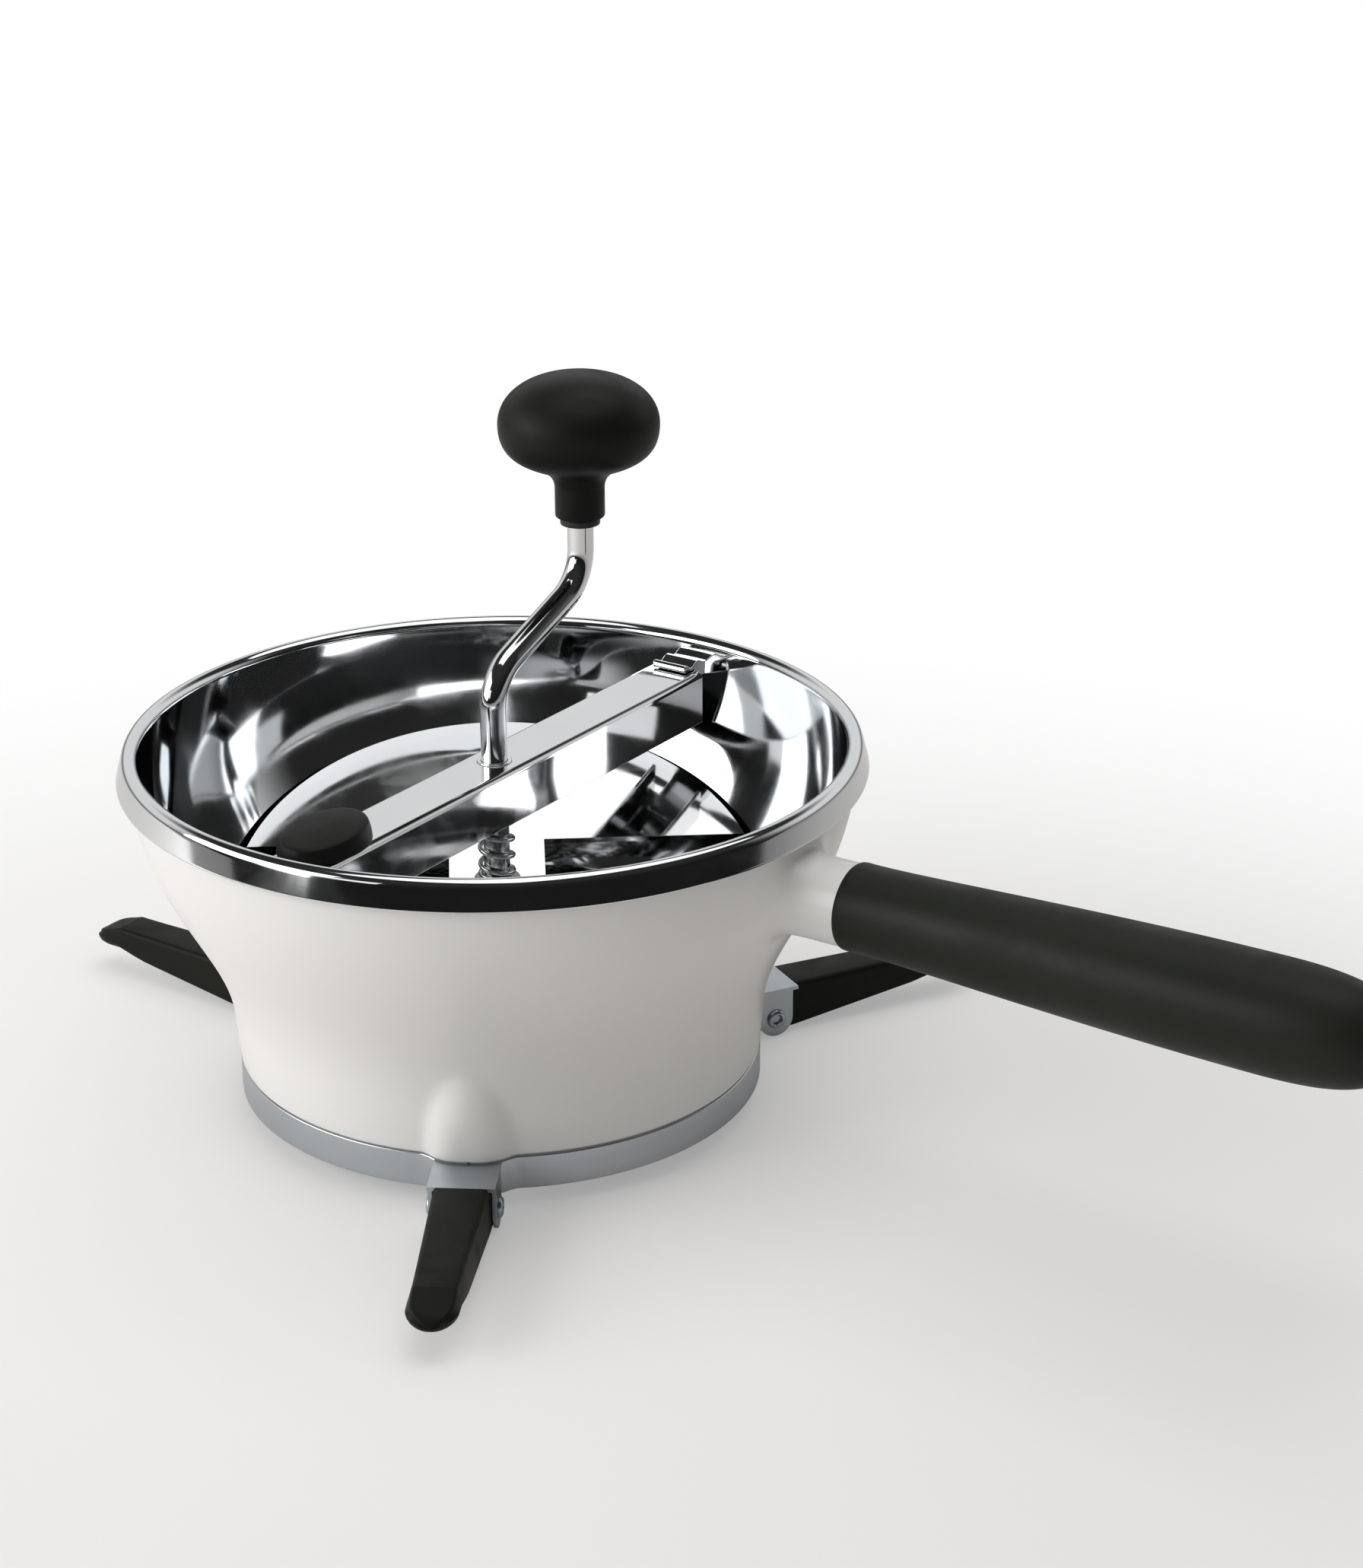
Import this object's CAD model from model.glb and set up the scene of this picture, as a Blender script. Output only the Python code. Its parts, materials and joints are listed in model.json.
import json
import math

import bmesh
import bpy
from mathutils import Matrix, Quaternion, Vector


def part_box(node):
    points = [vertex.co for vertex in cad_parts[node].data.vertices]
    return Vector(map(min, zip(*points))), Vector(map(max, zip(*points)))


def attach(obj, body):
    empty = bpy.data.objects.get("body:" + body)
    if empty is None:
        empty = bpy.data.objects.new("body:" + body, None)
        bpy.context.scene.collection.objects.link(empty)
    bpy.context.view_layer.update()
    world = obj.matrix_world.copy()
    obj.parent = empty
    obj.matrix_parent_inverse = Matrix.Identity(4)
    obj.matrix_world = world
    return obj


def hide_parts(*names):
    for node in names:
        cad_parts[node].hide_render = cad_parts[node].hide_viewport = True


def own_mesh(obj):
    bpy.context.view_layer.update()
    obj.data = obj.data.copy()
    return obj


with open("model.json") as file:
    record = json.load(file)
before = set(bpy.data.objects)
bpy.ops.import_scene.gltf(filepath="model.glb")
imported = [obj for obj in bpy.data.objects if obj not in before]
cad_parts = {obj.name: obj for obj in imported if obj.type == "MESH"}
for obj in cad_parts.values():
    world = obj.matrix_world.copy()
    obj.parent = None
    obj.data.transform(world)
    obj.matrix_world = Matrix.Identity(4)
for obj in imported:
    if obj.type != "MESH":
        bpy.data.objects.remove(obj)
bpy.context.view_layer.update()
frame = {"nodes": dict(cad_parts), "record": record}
mm = 0.001  # the sizes below are millimetres
print("frame loaded:", len(frame["nodes"]), "solids")


# shader helpers

def addNode(tree, kind, inputs=None, **settings):
    made = tree.nodes.new(kind)
    for key, setting in settings.items():
        setattr(made, key, setting)
    for key, entry in (inputs or {}).items():
        if isinstance(entry, bpy.types.NodeSocket):
            tree.links.new(entry, made.inputs[key])
        else:
            made.inputs[key].default_value = entry
    return made


def mathNode(tree, operation, first, second):
    return addNode(tree, "ShaderNodeMath", {0: first, 1: second}, operation=operation).outputs[0]


def newGroup(name, inputs, outputs):
    tree = bpy.data.node_groups.new(name, "ShaderNodeTree")
    for label, start in inputs.items():
        tree.interface.new_socket(label, in_out="INPUT", socket_type="NodeSocketFloat").default_value = start
    for label in outputs:
        tree.interface.new_socket(label, in_out="OUTPUT", socket_type="NodeSocketFloat")
    return tree, tree.nodes.new("NodeGroupInput"), tree.nodes.new("NodeGroupOutput")


def makeSpunLines():
    # fine rings left by spinning and polishing about the upright axis
    tree, given, result = newGroup("spunLines", {"Line Scale": 900.0, "Drift": 2.0}, ["Lines", "Bands"])
    place = addNode(tree, "ShaderNodeTexCoord").outputs["Object"]
    part = addNode(tree, "ShaderNodeSeparateXYZ", {0: place}).outputs
    flat = addNode(tree, "ShaderNodeCombineXYZ", {0: part[0], 1: part[1]}).outputs[0]
    radius = addNode(tree, "ShaderNodeVectorMath", {0: flat}, operation="LENGTH").outputs["Value"]
    heading = addNode(tree, "ShaderNodeVectorMath", {0: flat}, operation="NORMALIZE").outputs[0]
    along = mathNode(tree, "ADD", mathNode(tree, "MULTIPLY", radius, 0.73), part[2])
    drifted = addNode(tree, "ShaderNodeVectorMath", {0: heading, "Scale": given.outputs["Drift"]},
                      operation="SCALE").outputs[0]
    across = addNode(tree, "ShaderNodeCombineXYZ",
                     {2: mathNode(tree, "MULTIPLY", along, given.outputs["Line Scale"])}).outputs[0]
    spot = addNode(tree, "ShaderNodeVectorMath", {0: drifted, 1: across}, operation="ADD").outputs[0]
    lines = addNode(tree, "ShaderNodeTexNoise", {"Vector": spot, "Scale": 1.0, "Detail": 3.0})
    wide = addNode(tree, "ShaderNodeVectorMath", {0: spot, "Scale": 0.07}, operation="SCALE").outputs[0]
    bands = addNode(tree, "ShaderNodeTexNoise", {"Vector": wide, "Scale": 1.0, "Detail": 1.0})
    tree.links.new(lines.outputs["Fac"], result.inputs["Lines"])
    tree.links.new(bands.outputs["Fac"], result.inputs["Bands"])
    return tree


def makeHandlingMarks():
    # wiped smears and hair scratches from washing and use
    tree, given, result = newGroup("handlingMarks", {"Smear Scale": 38.0, "Scratch Scale": 260.0},
                                   ["Smear", "Scratch"])
    place = addNode(tree, "ShaderNodeTexCoord").outputs["Object"]
    smear = addNode(tree, "ShaderNodeTexNoise", {"Vector": place, "Scale": given.outputs["Smear Scale"],
                                                 "Detail": 4.0, "Roughness": 0.62, "Distortion": 0.8})
    shaped = addNode(tree, "ShaderNodeMapRange", {"Value": smear.outputs["Fac"], "From Min": 0.38,
                                                  "From Max": 0.72}, interpolation_type="SMOOTHSTEP")
    turned = addNode(tree, "ShaderNodeMapping", {"Vector": place, "Rotation": (0.3, 0.5, 0.9),
                                                 "Scale": (1.0, 0.05, 0.3)}).outputs[0]
    hair = addNode(tree, "ShaderNodeTexNoise", {"Vector": turned, "Scale": given.outputs["Scratch Scale"],
                                                "Detail": 5.0, "Roughness": 0.7})
    thin = addNode(tree, "ShaderNodeMapRange", {"Value": hair.outputs["Fac"], "From Min": 0.6, "From Max": 0.75})
    tree.links.new(shaped.outputs[0], result.inputs["Smear"])
    tree.links.new(thin.outputs[0], result.inputs["Scratch"])
    return tree


def makeMouldedSkin():
    # the faint texture and tone drift of a moulded surface
    tree, given, result = newGroup("mouldedSkin", {"Grain Scale": 2600.0, "Tone Scale": 24.0}, ["Grain", "Tone"])
    place = addNode(tree, "ShaderNodeTexCoord").outputs["Object"]
    grain = addNode(tree, "ShaderNodeTexNoise", {"Vector": place, "Scale": given.outputs["Grain Scale"],
                                                 "Detail": 2.0, "Roughness": 0.55})
    tone = addNode(tree, "ShaderNodeTexNoise", {"Vector": place, "Scale": given.outputs["Tone Scale"],
                                                "Detail": 3.0})
    tree.links.new(grain.outputs["Fac"], result.inputs["Grain"])
    tree.links.new(tone.outputs["Fac"], result.inputs["Tone"])
    return tree


spunLines, handlingMarks, mouldedSkin = makeSpunLines(), makeHandlingMarks(), makeMouldedSkin()


def newFinish(name, **constants):
    material = bpy.data.materials.new(name)
    material.use_nodes = True
    tree = material.node_tree
    shader = tree.nodes["Principled BSDF"]
    for key, entry in constants.items():
        shader.inputs[key.replace("_", " ")].default_value = entry
    return material, tree, shader


def placeGroup(tree, group, **inputs):
    made = addNode(tree, "ShaderNodeGroup", node_tree=group)
    for key, entry in inputs.items():
        made.inputs[key.replace("_", " ")].default_value = entry
    return made.outputs


def tintBetween(tree, shader, mask, low, high):
    blend = addNode(tree, "ShaderNodeMix", {0: mask, 6: (*low, 1), 7: (*high, 1)}, data_type="RGBA")
    tree.links.new(blend.outputs[2], shader.inputs["Base Color"])


def roughBetween(tree, shader, mask, low, high):
    spread = addNode(tree, "ShaderNodeMapRange", {"Value": mask, "To Min": low, "To Max": high})
    tree.links.new(spread.outputs[0], shader.inputs["Roughness"])


def raiseFrom(tree, shader, height, strength, depth):
    bump = addNode(tree, "ShaderNodeBump", {"Height": height, "Strength": strength, "Distance": depth * mm})
    tree.links.new(bump.outputs[0], shader.inputs["Normal"])


def makeGlossWhite():
    material, tree, shader = newFinish("glossWhite", IOR=1.48, Coat_Weight=0.15, Coat_Roughness=0.2)
    skin = placeGroup(tree, mouldedSkin, Grain_Scale=420.0, Tone_Scale=14.0)
    marks = placeGroup(tree, handlingMarks, Smear_Scale=26.0)
    tintBetween(tree, shader, skin["Tone"], (0.80, 0.79, 0.765), (0.84, 0.832, 0.808))
    roughBetween(tree, shader, marks["Smear"], 0.28, 0.34)
    raiseFrom(tree, shader, skin["Grain"], 0.05, 0.02)
    return material


def makeMirrorSteel():
    material, tree, shader = newFinish("mirrorSteel", Metallic=1.0)
    spun = placeGroup(tree, spunLines, Line_Scale=1500.0)
    marks = placeGroup(tree, handlingMarks, Smear_Scale=30.0, Scratch_Scale=330.0)
    tintBetween(tree, shader, spun["Bands"], (0.66, 0.675, 0.69), (0.74, 0.75, 0.755))
    roughBetween(tree, shader, marks["Smear"], 0.045, 0.10)
    raiseFrom(tree, shader, mathNode(tree, "ADD", spun["Lines"], marks["Scratch"]), 0.03, 0.02)
    return material


def makePolishedBar():
    material, tree, shader = newFinish("polishedBar", Metallic=1.0)
    marks = placeGroup(tree, handlingMarks, Smear_Scale=42.0, Scratch_Scale=420.0)
    skin = placeGroup(tree, mouldedSkin, Grain_Scale=90.0, Tone_Scale=30.0)
    tintBetween(tree, shader, skin["Tone"], (0.68, 0.69, 0.70), (0.76, 0.765, 0.77))
    roughBetween(tree, shader, marks["Smear"], 0.05, 0.12)
    raiseFrom(tree, shader, mathNode(tree, "ADD", skin["Grain"], marks["Scratch"]), 0.06, 0.03)
    return material


def makeSatinSteel():
    material, tree, shader = newFinish("satinSteel", Metallic=1.0)
    spun = placeGroup(tree, spunLines, Line_Scale=2600.0, Drift=3.0)
    marks = placeGroup(tree, handlingMarks, Smear_Scale=50.0)
    tintBetween(tree, shader, spun["Bands"], (0.43, 0.465, 0.50), (0.53, 0.565, 0.59))
    roughBetween(tree, shader, mathNode(tree, "MULTIPLY", spun["Lines"], marks["Smear"]), 0.28, 0.40)
    raiseFrom(tree, shader, spun["Lines"], 0.095, 0.03)
    return material


def makeSpringWire():
    material, tree, shader = newFinish("springWire", Metallic=1.0)
    skin = placeGroup(tree, mouldedSkin, Grain_Scale=700.0, Tone_Scale=90.0)
    tintBetween(tree, shader, skin["Tone"], (0.46, 0.46, 0.46), (0.60, 0.60, 0.595))
    roughBetween(tree, shader, skin["Grain"], 0.14, 0.30)
    return material


def makeSoftTouch(name, low, high, rough, shine=0.22):
    material, tree, shader = newFinish(name, IOR=1.45, Specular_IOR_Level=shine)
    skin = placeGroup(tree, mouldedSkin, Grain_Scale=2400.0, Tone_Scale=22.0)
    marks = placeGroup(tree, handlingMarks, Smear_Scale=48.0)
    tintBetween(tree, shader, skin["Tone"], low, high)
    roughBetween(tree, shader, marks["Smear"], *rough)
    raiseFrom(tree, shader, skin["Grain"], 0.22, 0.05)
    return material


glossWhite, mirrorSteel, polishedBar = makeGlossWhite(), makeMirrorSteel(), makePolishedBar()
satinSteel, springWire = makeSatinSteel(), makeSpringWire()
softTouch = makeSoftTouch("softTouch", (0.012, 0.0135, 0.0095), (0.018, 0.020, 0.0145), (0.44, 0.58))
knobTouch = makeSoftTouch("knobTouch", (0.008, 0.009, 0.0075), (0.012, 0.013, 0.011), (0.42, 0.56), 0.16)
legPlastic = makeSoftTouch("legPlastic", (0.0075, 0.0085, 0.006), (0.012, 0.013, 0.0095), (0.40, 0.54), 0.12)
darkNylon = makeSoftTouch("darkNylon", (0.030, 0.030, 0.030), (0.045, 0.045, 0.044), (0.40, 0.60))
print("finishes made:", len(bpy.data.materials))


# shape helpers

def bezier(start, poleA, poleB, end, count):
    points = []
    for step in range(count + 1):
        t = step / count
        share = ((1 - t) ** 3, 3 * t * (1 - t) ** 2, 3 * t * t * (1 - t), t ** 3)
        points.append(tuple(sum(s * p for s, p in zip(share, four)) for four in zip(start, poleA, poleB, end)))
    return points


def arc(centre, radius, fromAngle, toAngle, count=8):
    angles = [math.radians(fromAngle + (toAngle - fromAngle) * step / count) for step in range(count + 1)]
    return [(centre[0] + radius * math.cos(a), centre[1] + radius * math.sin(a)) for a in angles]


def upright(centre=(0, 0)):
    return lambda radius, angle, height: (centre[0] + radius * math.cos(angle),
                                          centre[1] + radius * math.sin(angle), height)


def turned(profile, place, segments, loop=False):
    # rings of points along a profile of (radius, height, ...), joined into a skin
    points, rings, faces = [], [], []
    for radius, *rest in profile:
        count = segments if radius > 1e-6 else 1
        rings.append(range(len(points), len(points) + count))
        points += [place(radius, 2 * math.pi * i / segments, *rest) for i in range(count)]
    for low, high in list(zip(rings, rings[1:])) + ([(rings[-1], rings[0])] if loop else []):
        for i in range(segments):
            j = (i + 1) % segments
            corners = [low[i % len(low)], low[j % len(low)], high[j % len(high)], high[i % len(high)]]
            corners = list(dict.fromkeys(corners))
            if len(corners) > 2:
                faces.append(corners)
    return points, faces


def middleOf(node):
    low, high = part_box(node)
    return [(a + b) / 2 / mm for a, b in zip(low, high)]


def tubeFaces(rows, count):
    # quads along closed rings of points, both ends capped
    faces = []
    for row in range(rows - 1):
        for k in range(count):
            a, b = row * count + k, row * count + (k + 1) % count
            faces.append([a, b, b + count, a + count])
    return faces + [list(range(count)), list(range((rows - 1) * count, rows * count))]


def finishPiece(piece, finish, body, replaced):
    piece.data.materials.clear()
    piece.data.materials.append(finish)
    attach(piece, body)
    if replaced:
        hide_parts(*replaced)


def pieceFromMesh(name, mesh):
    piece = bpy.data.objects.new(name, mesh)
    bpy.context.scene.collection.objects.link(piece)
    return piece


def pieceFromSkins(name, skins, sharp=40):
    # one mesh from several (points, faces) skins in millimetres, normals outward
    shape = bmesh.new()
    for points, faces in skins:
        corners = [shape.verts.new(Vector(p) * mm) for p in points]
        for face in faces:
            shape.faces.new([corners[i] for i in face])
    bmesh.ops.recalc_face_normals(shape, faces=shape.faces)
    mesh = bpy.data.meshes.new(name)
    shape.to_mesh(mesh)
    shape.free()
    mesh.shade_smooth()
    mesh.set_sharp_from_angle(angle=math.radians(sharp))
    return pieceFromMesh(name, mesh)


def bakeModifiers(piece):
    # the evaluated result as a plain mesh, with the modifiers gone
    seen = piece.evaluated_get(bpy.context.evaluated_depsgraph_get())
    mesh = bpy.data.meshes.new_from_object(seen)
    mesh.name = piece.name
    piece.modifiers.clear()
    piece.data = mesh
    return piece


def softened(name, source, edge, steps=2, angle=32):
    # a copy of a mesh, merged and with its edges broken
    shape = bmesh.new()
    shape.from_mesh(source)
    bmesh.ops.remove_doubles(shape, verts=shape.verts, dist=2e-6)
    bmesh.ops.dissolve_limit(shape, angle_limit=math.radians(0.4), verts=shape.verts, edges=shape.edges)
    corners = [e for e in shape.edges if len(e.link_faces) == 2 and e.calc_face_angle(0) > math.radians(angle)]
    bmesh.ops.bevel(shape, geom=corners, offset=edge * mm, offset_type="OFFSET", segments=steps, profile=0.5,
                    affect="EDGES", clamp_overlap=True)
    mesh = bpy.data.meshes.new(name)
    shape.to_mesh(mesh)
    shape.free()
    mesh.shade_smooth()
    piece = pieceFromMesh(name, mesh)
    piece.modifiers.new("evenNormals", "WEIGHTED_NORMAL").keep_sharp = True
    return bakeModifiers(piece)


# casing: a flared shell with three screw bosses and the handle's neck

casingSizes = {
    "foot": (80.2, 16.0), "waist": (81.2, 27.5), "poleLow": (82.0, 58.0), "poleHigh": (108.4, 72.0),
    "mouth": (109.2, 112.5), "wall": 2.4, "edgeRound": 0.7,
    "bossHalf": 14.0, "bossSwell": 4.6, "bossFoot": 18.0, "bossRise": 28.0, "bossAngles": (-60, 60, 180),
    "seamDeep": 1.0, "seamTall": 0.6,
    "neckRadius": 12.3, "neckEnd": 127.0, "neckStraight": 117.5, "neckFlare": 25.0, "neckGap": 4.5, "neckPull": 0.55,
    "segments": 288,
}


def casingWall(inset, count):
    size = casingSizes
    curve = bezier(*[(size[k][0] - inset, size[k][1]) for k in ("waist", "poleLow", "poleHigh", "mouth")], count)
    return [(size["foot"][0] - inset, size["foot"][1])] + curve


def wallRadius(height):
    points = casingWall(0, 80)
    for (r0, z0), (r1, z1) in zip(points, points[1:]):
        if z0 <= height <= z1:
            return r0 + (r1 - r0) * (height - z0) / (z1 - z0)
    return points[-1][0]


def bossReach(radius, angle, height):
    # the wall's radius, softly swelled where a boss stands behind it
    size = casingSizes
    up = max(height - size["bossFoot"], 0) / size["bossRise"]
    for place in size["bossAngles"]:
        turn = (angle - math.radians(place) + math.pi) % (2 * math.pi) - math.pi
        near = 1 - (radius * math.sin(turn) / size["bossHalf"]) ** 2 - up * up
        if abs(turn) < 0.5 and near > 0:
            return radius + size["bossSwell"] * near * near * (3 - 2 * near)
    return radius


def makeCasing():
    size = casingSizes
    lip = size["edgeRound"]
    outer = casingWall(0, 72)
    foot, mouth = outer[0], outer[-1]
    seam, groove = foot[1] + size["seamTall"], foot[0] - size["seamDeep"]  # a fine groove above the ring
    profile = [(groove, foot[1], 1), (groove, seam, 1)]
    for out, z in ((-0.35, seam), (-0.1, seam + 0.1), (0, seam + 0.35), (0.25, 19.5), (0.6, 23.5)):
        profile.append((foot[0] + out, z, 1))
    profile += [(r, z, 1) for r, z in outer[1:-1]]
    profile += [(mouth[0], mouth[1] - lip, 0), (mouth[0] - lip, mouth[1], 0)]
    profile += [(r, z, 0) for r, z in reversed(casingWall(size["wall"], 40))]

    def place(radius, angle, height, outside):
        reach = bossReach(radius, angle, height) if outside else radius
        return reach * math.cos(angle), reach * math.sin(angle), height

    shell = turned(profile, place, size["segments"], loop=True)
    return pieceFromSkins("casingShell", [shell, makeNeck()], sharp=50)


def makeNeck():
    # a trumpet that leaves the wall along its own slope and ends as the handle's round neck
    size = casingSizes
    middle = middleOf("handle_grip")[2]
    around, along = 96, 22
    inWall = Vector((1.2, 0, 0))  # the closed end lies inside the wall's thickness
    points, faces = [], []

    def onWall(away, angle):
        y, z = away * math.cos(angle), middle + away * math.sin(angle)
        return Vector((math.sqrt(wallRadius(z) ** 2 - y * y), y, z))

    for i in range(around):
        angle = 2 * math.pi * i / around
        up, away = math.sin(angle), size["neckFlare"]
        if up > 0:  # the flare stops short of the mouth
            away = min(away, (size["mouth"][1] - size["neckGap"] - middle) / up)
        start = onWall(away, angle)
        slope = (onWall(away - 0.5, angle) - onWall(away + 0.5, angle)).normalized()
        ring = Vector((0, math.cos(angle), math.sin(angle))) * size["neckRadius"] + Vector((0, 0, middle))
        end = ring + Vector((size["neckStraight"], 0, 0))
        pull = size["neckPull"] * (end - start).length
        curve = bezier(start - Vector((0.15, 0, 0)), start + slope * pull, end - Vector((pull, 0, 0)), end, along)
        hidden = [tuple(onWall(away * share, angle) - inWall) for share in (0.35, 0.7)]
        points += hidden + curve + [tuple(ring + Vector((size["neckEnd"], 0, 0)))]
    row, first, last = len(points) // around, len(points), len(points) + 1
    points += [tuple(onWall(0, 0) - inWall), (size["neckEnd"], 0, middle)]
    for i in range(around):
        j = (i + 1) % around
        faces += [[i * row + k, j * row + k, j * row + k + 1, i * row + k + 1] for k in range(row - 1)]
        faces += [[j * row, i * row, first], [i * row + row - 1, j * row + row - 1, last]]
    return points, faces


finishPiece(makeCasing(), glossWhite, "mill_body", ["outer_casing"])
print("casing made")


# bowl: a spun liner whose rim rolls over the casing and drops as a skirt

bowlSizes = {"offset": 2.7, "wall": 0.9, "rimRound": 2.6, "rimTop": 115.8, "skirtLean": 15.0, "skirtLow": 107.1,
             "ledgeLow": 24.0, "ledgeWidth": 8.0, "ledgeRound": 1.2, "segments": 320}


def makeBowl():
    size = bowlSizes
    wall, roll = size["wall"], size["rimRound"]
    inset = size["offset"] + wall
    spring = size["rimTop"] - roll
    mouth, waist = casingSizes["mouth"][0] - inset, casingSizes["waist"][0] - inset
    crest = (mouth + roll, spring)
    floor = size["ledgeLow"] + wall
    inner = casingWall(inset, 90)[1:]
    inner[-1] = (mouth, spring - 0.5)
    outer = casingWall(size["offset"], 60)[1:]
    outer[-1] = (mouth + wall, spring - 0.5)
    lean = math.radians(size["skirtLean"])
    drop = spring + roll * math.sin(lean) - size["skirtLow"]
    skirt = crest[0] + roll * math.cos(lean) + drop * math.tan(lean)  # radius at the skirt's lower edge
    bend = size["ledgeRound"]
    profile = [(waist - size["ledgeWidth"], floor)] + arc((waist - bend, floor + bend), bend, -90, 0, 5)
    profile += inner + arc(crest, roll, 180, size["skirtLean"], 22)
    for rise in (6.0, 3.0, 0.8, 0.5):
        profile.append((skirt - rise * math.tan(lean), size["skirtLow"] + rise))
    profile += arc((skirt - 0.4, size["skirtLow"] + 0.3), 0.3, size["skirtLean"], -90, 4)
    profile += [(skirt - wall, size["skirtLow"])] + arc(crest, roll - wall, size["skirtLean"], 180, 14)
    profile += list(reversed(outer))
    profile += [(waist + wall, size["ledgeLow"]), (waist - size["ledgeWidth"], size["ledgeLow"])]
    return pieceFromSkins("bowlLiner", [turned(profile, upright(), size["segments"], loop=True)], sharp=60)


finishPiece(makeBowl(), mirrorSteel, "mill_body", ["steel_bowl"])
print("bowl made")


# handle grip and crank knob: turned soft-touch mouldings

gripSizes = {"start": 126.2, "length": 166.0, "lip": 12.9, "neck": 12.3, "radius": 16.2, "segments": 128}
knobSizes = {"bottom": 172.0, "neck": 7.6, "neckTop": 181.0, "widest": 201.0, "radius": 24.5, "top": 216.5,
             "edgeRound": 0.8, "bore": 5.2, "boreDeep": 6.0, "segments": 128}


def makeGrip():
    size = gripSizes
    middle = middleOf("handle_grip")[2]
    start, long, full = size["start"], size["length"], size["radius"]
    end = start + long
    profile = [(0, start + 1.0), (size["lip"] - 1.6, start + 0.1)]
    profile += [(size["lip"] - r, start + x) for r, x in ((0.9, 0.15), (0.35, 0.45), (0.08, 0.95))]
    widest = (start + 0.78 * long, full)
    curve = bezier((start + 2, size["lip"]), (start + 0.1 * long, size["neck"]), (start + 0.45 * long, full),
                   widest, 40)
    curve += bezier(widest, (start + 0.92 * long, full), (end, 0.8 * full), (end, 0), 28)[1:]
    profile += [(r, x) for x, r in curve]

    def place(radius, angle, along):
        return along, radius * math.cos(angle), middle + radius * math.sin(angle)

    return pieceFromSkins("gripMoulding", [turned(profile, place, size["segments"])], sharp=60)


def makeKnob():
    size = knobSizes
    lip, bore, neck, full = size["edgeRound"], size["bore"], size["neck"], size["radius"]
    bottom, widest, top = size["bottom"], size["widest"], size["top"]
    profile = [(0, bottom + size["boreDeep"]), (bore, bottom + size["boreDeep"]), (bore, bottom + 0.4)]
    profile += [(neck - lip, bottom)] + arc((neck - lip, bottom + lip), lip, -60, 0, 4)
    profile += bezier((neck, size["neckTop"]), (neck, 0.5 * (size["neckTop"] + widest)), (full, bottom + 13.5),
                      (full, widest), 30)
    profile += bezier((full, widest), (full, bottom + 0.4 * (widest - bottom) + 26.7), (0.6 * full, top), (0, top),
                      30)[1:]
    spot = middleOf("knob_cover")[:2]
    return pieceFromSkins("knobMoulding", [turned(profile, upright(spot), size["segments"])], sharp=50)


finishPiece(makeGrip(), softTouch, "mill_body", ["handle_grip"])
finishPiece(makeKnob(), knobTouch, "knob", ["knob_cover"])
print("grip and knob made")


# folding legs: moulded beams with a sloped, rounded nose

legSizes = {
    "pivot": (91.0, 6.0), "tongueRound": 5.2, "tongueTop": 14.5, "step": 99.3, "rootRise": 1.6, "top": 16.0,
    "noseStart": 154.0, "underRise": 8.5, "tip": 166.3, "tipRise": 10.2, "toeLow": 8.0, "noseDrop": 3.6,
    "noseRound": 0.62, "width": 16.6, "tipWidth": 14.8, "draft": (0.3, 1.1), "topRound": 1.7, "lowRound": 0.9,
    "toeStart": 144.0,
}


def legSection(x):
    # (half width, underside, top) of the leg at x
    size = legSizes
    px, pz = size["pivot"]
    half = size["width"] / 2
    if x < size["step"] - 0.01:
        if x < px:
            drop = math.sqrt(max(size["tongueRound"] ** 2 - (x - px) ** 2, 0))
            share = (x - px + size["tongueRound"]) / size["tongueRound"]
            return half, pz - drop, pz + share * (size["tongueTop"] - pz)
        share, under = (x - px) / (size["step"] - px), pz - size["tongueRound"]
        return half, under + share * (size["rootRise"] - under), size["tongueTop"]
    tipHalf = size["tipWidth"] / 2
    share = min((x - size["step"]) / (size["tip"] - tipHalf - size["step"]), 1)
    half += share * (tipHalf - half)
    past = x - (size["tip"] - tipHalf)
    if past > 0:
        half = math.sqrt(max(tipHalf ** 2 - past ** 2, 0.04))
    if x <= size["noseStart"]:
        share = (x - size["step"]) / (size["noseStart"] - size["step"])
        return half, size["rootRise"] + share * (size["underRise"] - size["rootRise"]), size["top"]
    share = min((x - size["noseStart"]) / (size["tip"] - size["noseStart"]), 0.9999)
    blunt = max(share - size["noseRound"], 0) / (1 - size["noseRound"])
    swell = math.sqrt(1 - blunt * blunt)  # the end closes as a half round
    low = max(size["underRise"] - 4 * share * (size["underRise"] - size["toeLow"]), size["toeLow"])
    top, rise = size["top"] - share * size["noseDrop"], size["tipRise"]
    return half, rise + swell * (low - rise), rise + swell * (top - rise)


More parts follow.
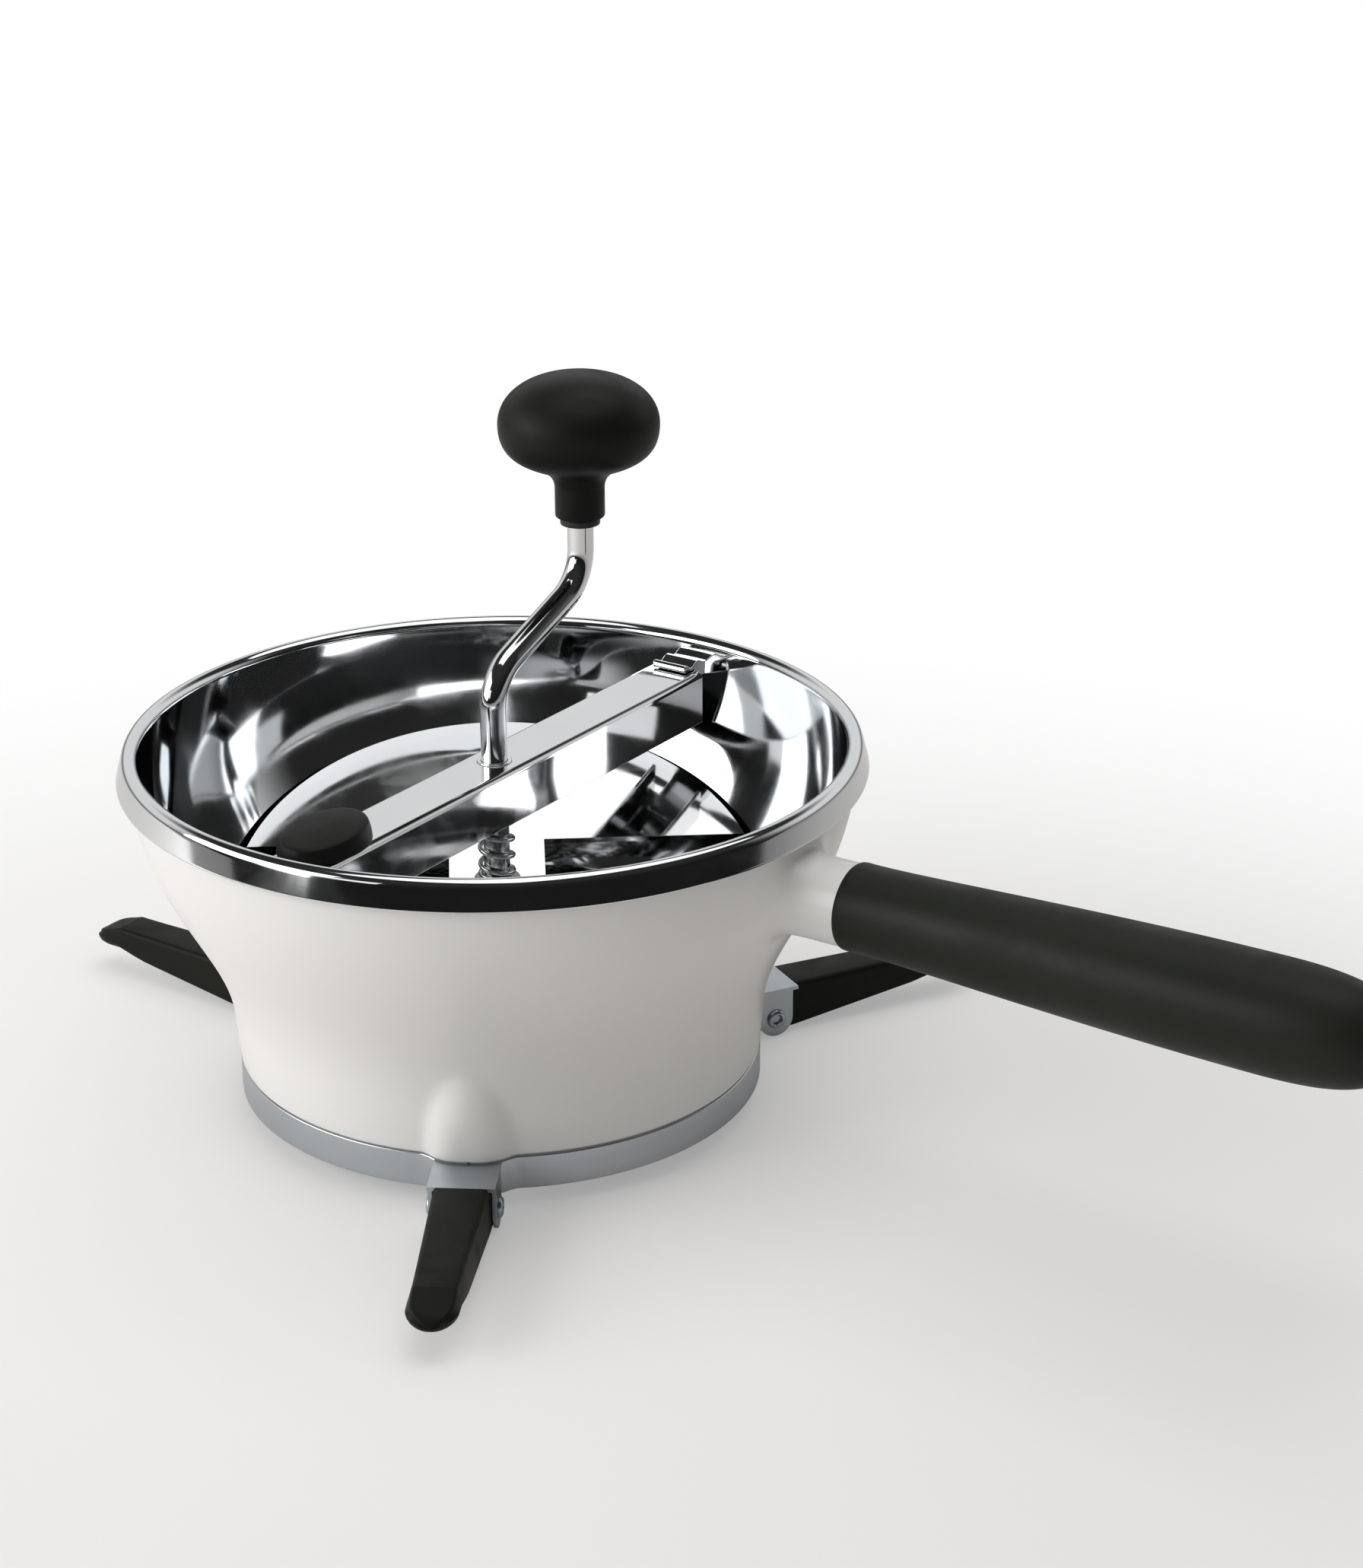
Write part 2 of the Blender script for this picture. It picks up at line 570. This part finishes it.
def makeLeg(side, azimuth):
    size = legSizes
    px = size["pivot"][0]
    stations = [px - size["tongueRound"] * math.cos(math.radians(a)) for a in (8, 25, 42, 60, 75, 90)]
    stations += [px + 4, size["step"] - 0.02, size["step"], size["step"] + 1.2]
    stations += [size["step"] + (size["noseStart"] - 1 - size["step"]) * k / 10 for k in range(1, 11)]
    stations += [size["noseStart"] - 0.4, size["noseStart"], size["noseStart"] + 0.4, size["noseStart"] + 1.2]
    stations += [size["tip"] - size["tipWidth"] / 2 * (1 - math.sin(math.radians(a)))
                 for a in (0, 12, 24, 34, 44, 53, 61, 68, 74, 80, 85, 89)]
    points = []
    heading = Matrix.Rotation(math.radians(azimuth), 3, "Z")
    for x in sorted(stations):
        half, low, top = legSection(x)
        limit = min(0.45 * (top - low), 0.8 * half)
        share = min(max((x - size["step"]) / (size["noseStart"] - size["step"]), 0), 1)
        lean = size["draft"][0] + share * (size["draft"][1] - size["draft"][0]) if x >= size["step"] else 0
        brow = max(half - lean, 0.4 * half)  # half width of the top
        toe = min(max((x - size["toeStart"]) / (size["tip"] - size["toeStart"]), 0), 1)  # rounds as a fingertip
        over = min(size["topRound"] * (1 - 0.5 * toe), limit)
        start = min(size["lowRound"], limit)
        wide, tall = start + toe * (0.92 * half - start), start + toe * (0.75 * (top - low) - start)
        ring = arc((brow - over, top - over), over, 0, 90, 6) + arc((over - brow, top - over), over, 90, 180, 6)
        for flank, turn in ((-1, 180), (1, 270)):
            ring += [(flank * (half - wide) + wide * cy, low + tall + tall * cz)
                     for cy, cz in arc((0, 0), 1, turn, turn + 90, 6)]
        points += [heading @ Vector((x, y, z)) for y, z in ring]
    faces = tubeFaces(len(stations), len(points) // len(stations))
    return pieceFromSkins(f"legBeam.{side}", [(points, faces)], sharp=38)


rivetSizes = {"half": 9.85, "shank": 2.0, "head": 3.2, "rise": 1.2, "hollow": 1.5, "segments": 40}


def makeRivet(side, azimuth):
    # a hollow rivet through both ears, its ends rolled over
    size = rivetSizes
    seat, head, top = size["half"], size["head"], size["half"] + size["rise"]
    end = [(0, seat + 0.1), (size["hollow"] - 0.1, seat + 0.1), (size["hollow"], top - 0.35),
           (size["hollow"] + 0.35, top), (head - 0.7, top - 0.1), (head - 0.2, top - 0.5), (head, seat + 0.1),
           (head - 0.1, seat), (size["shank"], seat)]
    profile = [(r, -along) for r, along in end] + end[::-1]
    heading = Matrix.Rotation(math.radians(azimuth), 3, "Z")
    px, pz = legSizes["pivot"]

    def place(radius, angle, along):
        return heading @ Vector((px + radius * math.cos(angle), along, pz + radius * math.sin(angle)))

    return pieceFromSkins(f"legRivet.{side}", [turned(profile, place, size["segments"])], sharp=45)


for side, azimuth in (("right", -60), ("left", 60), ("rear", 180)):
    finishPiece(makeLeg(side, azimuth), legPlastic, f"leg_{side}", [f"leg_{side}"])
    bracket = softened(f"legBracket.{side}", frame["nodes"][f"bracket_{side}"].data, 0.25)
    finishPiece(bracket, satinSteel, "mill_body", [f"bracket_{side}"])
    finishPiece(makeRivet(side, azimuth), satinSteel, "mill_body", [f"leg_pin_{side}"])
print("legs and brackets made")


# foot ring: a bent steel band that swells out to each bracket and is slotted for the folding leg

ringSizes = {"radius": 80.2, "wall": 1.2, "low": 5.5, "top": 16.0, "outlet": 73.0, "slot": 17.2, "edgeRound": 0.5,
             "steps": 88}


def makeRing():
    size = ringSizes
    outer, lip = size["radius"], size["edgeRound"]
    inner, under = outer - size["wall"], size["top"] - size["wall"]
    corner = arc((outer - lip, size["top"] - lip), lip, 0, 90, 4)
    flange = [(size["outlet"], under), (outer, under)] + corner + [(size["outlet"], size["top"])]
    band = [(size["outlet"], under), (inner, under), (inner, size["low"] + 0.2), (inner + 0.2, size["low"]),
            (outer - 0.3, size["low"]), (outer, size["low"] + 0.3)] + corner + [(size["outlet"], size["top"])]
    halfSlot = math.degrees(math.asin(size["slot"] / 2 / outer))

    def span(profile, start, end, steps):
        points = []
        for step in range(steps + 1):
            angle = math.radians(start + (end - start) * step / steps)
            swell = bossReach(outer, angle, size["top"]) - outer
            for radius, height in profile:
                reach = radius + swell * max((radius - size["outlet"]) / (outer - size["outlet"]), 0)
                points.append((reach * math.cos(angle), reach * math.sin(angle), height))
        return points, tubeFaces(steps + 1, len(profile))

    skins = []
    for azimuth in casingSizes["bossAngles"]:
        skins.append(span(flange, azimuth - halfSlot, azimuth + halfSlot, 10))
        skins.append(span(band, azimuth + halfSlot, azimuth + 120 - halfSlot, size["steps"]))
    return pieceFromSkins("footRing", skins, sharp=40)


finishPiece(makeRing(), satinSteel, "mill_body", ["base_ring"])
print("foot ring made")


# crossbar, catch, latch and thumb button

sheetEdges = {"crossbar": 0.3, "latch_keeper": 0.3, "latch_bolt": 0.3, "latch_stop": 0.25,
              "shaft_bush": 0.25, "spring_washer": 0.25, "blade": 0.3, "blade_hub": 0.4,
              "button_screw": 0.2, "knob_collar": 0.3, "knob_retainer": 0.3}
sheetFinish = {"crossbar": polishedBar, "blade": polishedBar, "latch_keeper": polishedBar,
               "blade_hub": polishedBar, "shaft_bush": polishedBar, "knob_collar": darkNylon}
bodyOf = {node: body for body, members in frame["record"]["behaviour"]["bodies"].items() for node in members}

for node, edge in sheetEdges.items():
    words = node.split("_")
    name = words[0] + "".join(w.capitalize() for w in words[1:]) + "Dressed"
    finishPiece(softened(name, frame["nodes"][node].data, edge), sheetFinish.get(node, satinSteel), bodyOf[node],
                [node])

catchSizes = {
    "wall": 105.5, "shelfEnd": 90.6, "shelf": (104.3, 105.8), "barEnd": 98.9, "hoodLow": 107.6, "roll": (94.3, 108.8),
    "rollRadius": 1.2, "rollEnd": 50, "valley": (97.0, 108.5), "hump": (101.0, 110.0), "wallRise": 108.6,
    "halfWidth": 6.15, "edge": 0.25, "steps": 8,
}


def makeCatch():
    # a strap from the wall, slotted for the bar's end, its hood rolled at the front and humped behind the roll
    size = catchSizes
    wall, (shelfLow, shelfTop) = size["wall"], size["shelf"]
    outline = [(wall, shelfLow), (size["shelfEnd"], shelfLow), (size["shelfEnd"], shelfTop),
               (size["barEnd"], shelfTop), (size["barEnd"], size["hoodLow"])]
    outline += arc(size["roll"], size["rollRadius"], 270, size["rollEnd"], 16)
    for y, z in (size["valley"], size["hump"], (wall, size["wallRise"])):
        fromY, fromZ = outline[-1]
        for step in range(1, size["steps"] + 1):
            share = step / size["steps"]
            ease = (1 - math.cos(math.pi * share)) / 2
            outline.append((fromY + (y - fromY) * share, fromZ + (z - fromZ) * ease))
    count, half = len(outline), size["halfWidth"]
    points = [(x, y, z) for x in (-half, half) for y, z in outline]
    faces = [list(range(count)), list(range(count, 2 * count))]
    faces += [[k, (k + 1) % count, (k + 1) % count + count, k + count] for k in range(count)]
    blank = pieceFromSkins("catchBlank", [(points, faces)])
    piece = softened("catchStrap", blank.data, size["edge"])
    bpy.data.objects.remove(blank)
    return piece


finishPiece(makeCatch(), polishedBar, bodyOf["bar_catch"], ["bar_catch"])

buttonSizes = {"length": 32.0, "width": 23.4, "height": 7.6, "flank": 16.0, "edge": 1.7, "slant": 0.38,
               "segments": 96}


def makeButton():
    # a thumb-sized oval with steep sides, a soft corner and a shallow crown that falls towards the bowl's wall
    size = buttonSizes
    middle = middleOf("release_button")[1]
    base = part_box("release_button")[1][2] / mm - size["height"]

    def flank(height):
        return math.sqrt(1 - (height / size["flank"]) ** 2), height

    def crown(spread):
        return spread, size["height"] * math.sqrt(1 - spread * spread / 4)

    corner = flank(size["height"] * 0.89)
    below, above = flank(corner[1] - size["edge"]), crown(corner[0] - 0.13)
    side = [(0, 0.2), (0.9, 0), (0.97, 0.05), (0.992, 0.3)] + [flank(0.9 + 0.5 * k) for k in range(8)]
    side += bezier(below, corner, corner, above, 8)
    side += [crown(above[0] * (1 - k / 9)) for k in range(1, 10)]

    def place(spread, angle, height):
        along = spread * math.sin(angle)
        fall = 1 - size["slant"] * (1 - along) / 2
        across = spread * size["width"] / 2 * math.cos(angle)
        return across, middle + along * size["length"] / 2, base + height * fall

    return pieceFromSkins("thumbButton", [turned(side, place, size["segments"])], sharp=60)


finishPiece(makeButton(), knobTouch, "release", ["release_button"])
print("bar and latch made")


# Geometry Nodes pieces: crank rod, springs, hole lips and screws

def newTree(name, inputs):
    tree = bpy.data.node_groups.new(name, "GeometryNodeTree")
    tree.interface.new_socket("Geometry", in_out="INPUT", socket_type="NodeSocketGeometry")
    keys = {}
    for label, start in inputs.items():
        kind = "NodeSocketInt" if isinstance(start, int) else "NodeSocketFloat"
        socket = tree.interface.new_socket(label, in_out="INPUT", socket_type=kind)
        socket.default_value = start
        keys[label] = socket.identifier
    tree.interface.new_socket("Geometry", in_out="OUTPUT", socket_type="NodeSocketGeometry")
    return tree, tree.nodes.new("NodeGroupInput").outputs, tree.nodes.new("NodeGroupOutput").inputs, keys


def closeTree(tree, shape, result, finish):
    real = addNode(tree, "GeometryNodeRealizeInstances", {0: shape}).outputs[0]
    smooth = addNode(tree, "GeometryNodeSetShadeSmooth", {"Geometry": real}).outputs[0]
    tree.links.new(addNode(tree, "GeometryNodeSetMaterial", {"Geometry": smooth, "Material": finish}).outputs[0],
                   result[0])


def lifted(tree, shape, lift):
    shift = addNode(tree, "ShaderNodeCombineXYZ", {"Z": lift}).outputs[0]
    return addNode(tree, "GeometryNodeTransform", {"Geometry": shape, "Translation": shift}).outputs[0]


def growPiece(name, tree, keys, values, carrier=None):
    piece = pieceFromMesh(name, carrier or bpy.data.meshes.new(name))
    grow = piece.modifiers.new("grow", "NODES")
    grow.node_group = tree
    for label, setting in values.items():
        grow[keys[label]] = setting
    piece = bakeModifiers(piece)
    shape = bmesh.new()
    shape.from_mesh(piece.data)
    bmesh.ops.remove_doubles(shape, verts=shape.verts, dist=1e-7)
    bmesh.ops.recalc_face_normals(shape, faces=shape.faces)
    shape.to_mesh(piece.data)
    shape.free()
    piece.data.set_sharp_from_angle(angle=math.radians(50))
    return piece


rodSizes = {"Rod Radius": 4.0 * mm, "Bend Radius": 15.0 * mm, "Bend Steps": 14, "Sides": 40}
rodRoute = [(0, 0, 18.5), (0, 0, 133.5), (0, 46, 152), (0, 46, 206)]


def makeRodTree():
    # a round bar along its route, each corner bent to one radius
    tree, given, result, keys = newTree("bentRod", rodSizes)
    path = addNode(tree, "GeometryNodeMeshToCurve", {"Mesh": given["Geometry"]}).outputs[0]
    bent = addNode(tree, "GeometryNodeFilletCurve", mode="POLY")
    tree.links.new(path, bent.inputs["Curve"])
    tree.links.new(given["Bend Radius"], bent.inputs["Radius"])
    tree.links.new(given["Bend Steps"], bent.inputs["Count"])
    ring = addNode(tree, "GeometryNodeCurvePrimitiveCircle", {"Resolution": given["Sides"],
                                                             "Radius": given["Rod Radius"]}).outputs[0]
    tube = addNode(tree, "GeometryNodeCurveToMesh", {"Curve": bent.outputs[0], "Profile Curve": ring,
                                                    "Fill Caps": True}).outputs[0]
    closeTree(tree, tube, result, polishedBar)
    return tree, keys


routeMesh = bpy.data.meshes.new("crankRoute")
routeMesh.from_pydata([Vector(p) * mm for p in rodRoute], [(0, 1), (1, 2), (2, 3)], [])
rodPiece = growPiece("crankRod", *makeRodTree(), rodSizes, routeMesh)
finishPiece(rodPiece, polishedBar, "crank", ["crank_rod"])

springSizes = {"Coil Radius": 5.0 * mm, "Wire Radius": 0.75 * mm, "Length": 30.2 * mm, "Turns": 5.0,
               "Bottom": 70.3 * mm, "Steps Per Turn": 40}
latchSizes = {"Coil Radius": 2.4 * mm, "Wire Radius": 0.4 * mm, "Length": 19.1 * mm, "Turns": 8.0,
              "Bottom": 0.0, "Steps Per Turn": 28}


def makeSpringTree():
    # a compression spring: open coils between two closed end turns
    tree, given, result, keys = newTree("coilSpring", springSizes)
    wire = mathNode(tree, "MULTIPLY", given["Wire Radius"], 2.02)
    middle = mathNode(tree, "SUBTRACT", given["Length"], mathNode(tree, "MULTIPLY", wire, 2.0))
    spans = [(1.0, wire, given["Bottom"]),
             (given["Turns"], middle, mathNode(tree, "ADD", given["Bottom"], wire)),
             (1.0, wire, mathNode(tree, "ADD", mathNode(tree, "ADD", given["Bottom"], wire), middle))]
    join = addNode(tree, "GeometryNodeJoinGeometry")
    ring = addNode(tree, "GeometryNodeCurvePrimitiveCircle", {"Resolution": 12,
                                                             "Radius": given["Wire Radius"]}).outputs[0]
    for turns, height, lift in reversed(spans):
        coil = addNode(tree, "GeometryNodeCurveSpiral", {
            "Resolution": given["Steps Per Turn"], "Rotations": turns, "Start Radius": given["Coil Radius"],
            "End Radius": given["Coil Radius"], "Height": height}).outputs[0]
        tube = addNode(tree, "GeometryNodeCurveToMesh", {"Curve": lifted(tree, coil, lift), "Profile Curve": ring,
                                                        "Fill Caps": True}).outputs[0]
        tree.links.new(tube, join.inputs[0])
    closeTree(tree, join.outputs[0], result, springWire)
    return tree, keys


springTree, springKeys = makeSpringTree()
pressureSpring = growPiece("pressureCoil", springTree, springKeys, springSizes)
finishPiece(pressureSpring, springWire, "mill_body", ["pressure_spring"])
latchCoil = growPiece("latchCoil", springTree, springKeys, latchSizes)
latchLow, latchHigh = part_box("latch_spring")
latchCoil.data.transform(Matrix.Translation((0, latchLow[1] + 0.4 * mm, (latchLow[2] + latchHigh[2]) / 2))
                         @ Matrix.Rotation(math.radians(-90), 4, "X"))
finishPiece(latchCoil, springWire, "mill_body", ["latch_spring"])

lipSizes = {"First Ring": 14.0 * mm, "Pitch": 8.0 * mm, "Hole Radius": 2.5 * mm, "Lip Radius": 0.22 * mm,
            "Rings": 7, "Height": 25.92 * mm}


def makeLipTree():
    # a small rolled lip at every hole of the perforated disc
    tree, given, result, keys = newTree("holeLips", lipSizes)
    spots = addNode(tree, "GeometryNodeJoinGeometry")
    for ring in range(lipSizes["Rings"]):
        reach = mathNode(tree, "ADD", given["First Ring"], mathNode(tree, "MULTIPLY", given["Pitch"], float(ring)))
        share = mathNode(tree, "DIVIDE", mathNode(tree, "MULTIPLY", reach, 2 * math.pi), given["Pitch"])
        count = addNode(tree, "FunctionNodeFloatToInt", {0: share}, rounding_mode="FLOOR").outputs[0]
        circle = addNode(tree, "GeometryNodeMeshCircle", {"Vertices": count, "Radius": reach}).outputs[0]
        tree.links.new(circle, spots.inputs[0])
    raised = lifted(tree, spots.outputs[0], given["Height"])
    ring = addNode(tree, "GeometryNodeCurvePrimitiveCircle", {"Resolution": 16, "Radius": given["Hole Radius"]})
    bead = addNode(tree, "GeometryNodeCurvePrimitiveCircle", {"Resolution": 4, "Radius": given["Lip Radius"]})
    lip = addNode(tree, "GeometryNodeCurveToMesh", {"Curve": ring.outputs[0], "Profile Curve": bead.outputs[0]})
    lips = addNode(tree, "GeometryNodeInstanceOnPoints", {"Points": raised, "Instance": lip.outputs[0]}).outputs[0]
    closeTree(tree, lips, result, mirrorSteel)
    return tree, keys


finishPiece(growPiece("discHoleLips", *makeLipTree(), lipSizes), mirrorSteel, "mill_body", ())

screwSizes = {"Head Radius": 2.9 * mm, "Head Height": 1.8 * mm, "Slot Width": 0.7 * mm, "Slot Depth": 1.0 * mm,
              "Shank Radius": 1.5 * mm, "Shank Length": 10.1 * mm, "Place": 82.5 * mm, "Seat": 14.8 * mm}


def makeScrewTree():
    # three pan-head screws with a crossed slot, heads down under the brackets
    tree, given, result, keys = newTree("bracketScrews", screwSizes)

    def boxed(x, y, z, lift):
        size = addNode(tree, "ShaderNodeCombineXYZ", {0: x, 1: y, 2: z}).outputs[0]
        cube = addNode(tree, "GeometryNodeMeshCube", {"Size": size}).outputs["Mesh"]
        return lifted(tree, cube, lift)

    def stub(top, bottom, depth, lift, sides=24):
        cone = addNode(tree, "GeometryNodeMeshCone", {"Vertices": sides, "Radius Top": top, "Radius Bottom": bottom,
                                                      "Depth": depth}).outputs["Mesh"]
        return lifted(tree, cone, lift)

    tall = given["Head Height"]
    face = mathNode(tree, "SUBTRACT", given["Seat"], tall)
    brim = mathNode(tree, "MULTIPLY", tall, 0.4)
    crown = mathNode(tree, "SUBTRACT", tall, brim)
    arm = mathNode(tree, "MULTIPLY", given["Head Radius"], 1.1)
    depth = mathNode(tree, "MULTIPLY", given["Slot Depth"], 2.0)
    head = stub(given["Head Radius"], mathNode(tree, "MULTIPLY", given["Head Radius"], 0.6), crown, face)
    cut = addNode(tree, "GeometryNodeMeshBoolean", {"Mesh 1": head}, operation="DIFFERENCE", solver="EXACT")
    for x, y in ((arm, given["Slot Width"]), (given["Slot Width"], arm)):
        tree.links.new(boxed(x, y, depth, face), cut.inputs["Mesh 2"])
    rim = stub(given["Head Radius"], given["Head Radius"], brim, mathNode(tree, "ADD", face, crown))
    shank = stub(given["Shank Radius"], given["Shank Radius"], given["Shank Length"], given["Seat"])
    screw = addNode(tree, "GeometryNodeJoinGeometry")
    for item in (shank, rim, cut.outputs[0]):
        tree.links.new(item, screw.inputs[0])
    spots = addNode(tree, "GeometryNodeMeshCircle", {"Vertices": 3, "Radius": given["Place"]}).outputs[0]
    turn = addNode(tree, "GeometryNodeTransform", {"Geometry": spots, "Rotation": (0, 0, math.pi)}).outputs[0]
    screws = addNode(tree, "GeometryNodeInstanceOnPoints", {"Points": turn, "Instance": screw.outputs[0]}).outputs[0]
    closeTree(tree, screws, result, satinSteel)
    return tree, keys


finishPiece(growPiece("bracketScrewSet", *makeScrewTree(), screwSizes), satinSteel, "mill_body", ["bracket_screws"])

for node, finish in (("grinding_disc", mirrorSteel), ("hub_pin", satinSteel), ("knob_core", darkNylon)):
    frame["nodes"][node].data.materials.clear()
    frame["nodes"][node].data.materials.append(finish)
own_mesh(pressureSpring)
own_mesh(latchCoil)
print("rod, springs, lips and screws made")


# floor, light and camera

stageSizes = {"floorSpan": 9.0, "floorDrop": 0.0004, "floorTone": (0.87, 0.848, 0.832), "toneDrift": 1.03,
              "whiteRound": (0.1, -0.13, 0.0), "whiteFrom": 0.2, "whiteTo": 0.6, "whiteNear": 0.32}


def makeFloor():
    # pale under the object, and white to the camera further out
    size = stageSizes
    half = size["floorSpan"] / 2
    mesh = bpy.data.meshes.new("paleFloor")
    corners = [(x * half, y * half, -size["floorDrop"]) for x, y in ((-1, -1), (1, -1), (1, 1), (-1, 1))]
    mesh.from_pydata(corners, [], [(0, 1, 2, 3)])
    floor = pieceFromMesh("paleFloor", mesh)
    material, tree, shader = newFinish("paleFloor", Roughness=0.75, Specular_IOR_Level=0.2)
    skin = placeGroup(tree, mouldedSkin, Grain_Scale=60.0, Tone_Scale=1.5)
    tone = size["floorTone"]
    tintBetween(tree, shader, skin["Tone"], tone, tuple(c * size["toneDrift"] for c in tone))
    place = addNode(tree, "ShaderNodeTexCoord").outputs["Object"]
    away = addNode(tree, "ShaderNodeVectorMath", {0: place, 1: size["whiteRound"]},
                   operation="DISTANCE").outputs["Value"]
    fade = addNode(tree, "ShaderNodeMapRange", {"Value": away, "From Min": size["whiteFrom"],
                                                "From Max": size["whiteTo"], "To Min": size["whiteNear"]},
                   interpolation_type="SMOOTHSTEP").outputs[0]
    seen = addNode(tree, "ShaderNodeLightPath").outputs["Is Camera Ray"]
    glow = addNode(tree, "ShaderNodeEmission", {"Color": (1, 1, 1, 1), "Strength": 1.0}).outputs[0]
    mixed = addNode(tree, "ShaderNodeMixShader", {0: mathNode(tree, "MULTIPLY", fade, seen),
                                                  1: shader.outputs[0], 2: glow}).outputs[0]
    clear = addNode(tree, "ShaderNodeBsdfTransparent").outputs[0]  # the floor is open to a view from below
    below = addNode(tree, "ShaderNodeNewGeometry").outputs["Backfacing"]
    shown = addNode(tree, "ShaderNodeMixShader", {0: below, 1: mixed, 2: clear}).outputs[0]
    tree.links.new(shown, tree.nodes["Material Output"].inputs["Surface"])
    mesh.materials.append(material)


worldSizes = {"toBack": (-0.56, 0.83, 0.0), "backRamp": (-0.15, 0.45), "lowRamp": (-0.08, 0.24),
              "highRamp": (0.66, 0.47), "backLevel": 0.85, "roomRamp": (0.1, 0.6), "roomLevel": (0.012, 0.03),
              "softLevel": 0.30, "seenLevel": 1.0}


def makeWorld():
    # a pale studio behind the object and a dim room on the camera's side, as polished steel shows it
    size = worldSizes
    world = bpy.data.worlds.new("studio")
    bpy.context.scene.world = world
    world.use_nodes = True
    tree = world.node_tree
    tree.nodes.clear()
    heading = addNode(tree, "ShaderNodeTexCoord").outputs["Generated"]
    behind = addNode(tree, "ShaderNodeVectorMath", {0: heading, 1: size["toBack"]},
                     operation="DOT_PRODUCT").outputs["Value"]
    height = addNode(tree, "ShaderNodeSeparateXYZ", {0: heading}).outputs[2]
    shade = 1.0
    for along, (start, end) in ((behind, size["backRamp"]), (height, size["lowRamp"]), (height, size["highRamp"])):
        ramp = addNode(tree, "ShaderNodeMapRange", {"Value": along, "From Min": start, "From Max": end},
                       interpolation_type="SMOOTHSTEP").outputs[0]
        shade = mathNode(tree, "MULTIPLY", ramp, shade)
    low, high = size["roomRamp"]
    dim = addNode(tree, "ShaderNodeMapRange", {"Value": height, "From Min": low, "From Max": high,
                                               "To Min": size["roomLevel"][0],
                                               "To Max": size["roomLevel"][1]}).outputs[0]
    shade = addNode(tree, "ShaderNodeMapRange", {"Value": shade, "To Min": dim,
                                                 "To Max": size["backLevel"]}).outputs[0]
    path = addNode(tree, "ShaderNodeLightPath").outputs
    mirrored = mathNode(tree, "MAXIMUM", path["Is Glossy Ray"], path["Is Transmission Ray"])
    level = addNode(tree, "ShaderNodeMix", {0: mirrored, 2: size["softLevel"], 3: shade}).outputs[0]
    level = addNode(tree, "ShaderNodeMix", {0: path["Is Camera Ray"], 2: level, 3: size["seenLevel"]}).outputs[0]
    glow = addNode(tree, "ShaderNodeBackground", {"Color": (1, 1, 1, 1), "Strength": level}).outputs[0]
    tree.links.new(glow, addNode(tree, "ShaderNodeOutputWorld").inputs["Surface"])


lampAim = Vector((0.0, 0.0, 0.08))
lampSizes = {  # place, (width, height), watts
    "overhead": ((0.0, 0.25, 1.60), (1.24, 1.7), 9.5),
    "window": ((-0.88, -1.05, 0.62), (1.3, 0.9), 14.5),
    "strip": ((-0.20, -1.43, 0.51), (0.6, 0.35), 0.8),
}


def makeLamps():
    for name, (place, span, watts) in lampSizes.items():
        lamp = bpy.data.lights.new(name, "AREA")
        lamp.shape = "RECTANGLE"
        lamp.size, lamp.size_y = span
        lamp.energy = watts
        holder = bpy.data.objects.new(name, lamp)
        holder.location = place
        holder.rotation_mode = "QUATERNION"
        holder.rotation_quaternion = (lampAim - Vector(place)).to_track_quat("-Z", "Y")
        bpy.context.scene.collection.objects.link(holder)


cameraSizes = {"away": 957.8, "height": 484.1, "azimuth": 37.4, "swing": 3.361, "pitch": 21.912, "roll": -0.257,
               "focalPixels": 4500.0, "picture": (1792, 2061), "sensor": 36.0}


def makeCamera():
    size = cameraSizes
    lens = bpy.data.cameras.new("photoCamera")
    lens.sensor_width = size["sensor"]
    lens.lens = size["focalPixels"] * size["sensor"] / max(size["picture"])
    camera = bpy.data.objects.new("photoCamera", lens)
    bpy.context.scene.collection.objects.link(camera)
    turn = math.radians(size["azimuth"])
    camera.location = Vector((size["away"] * math.sin(turn), -size["away"] * math.cos(turn), size["height"])) * mm
    heading, pitch = math.radians(size["swing"] - size["azimuth"]), math.radians(size["pitch"])
    ahead = Vector((math.sin(heading) * math.cos(pitch), math.cos(heading) * math.cos(pitch), -math.sin(pitch)))
    camera.rotation_mode = "QUATERNION"
    camera.rotation_quaternion = ahead.to_track_quat("-Z", "Y") @ Quaternion((0, 0, 1), math.radians(size["roll"]))
    bpy.context.scene.camera = camera


makeFloor()
makeWorld()
makeLamps()
makeCamera()
bpy.context.scene.view_settings.view_transform = "Standard"
print("stage made")
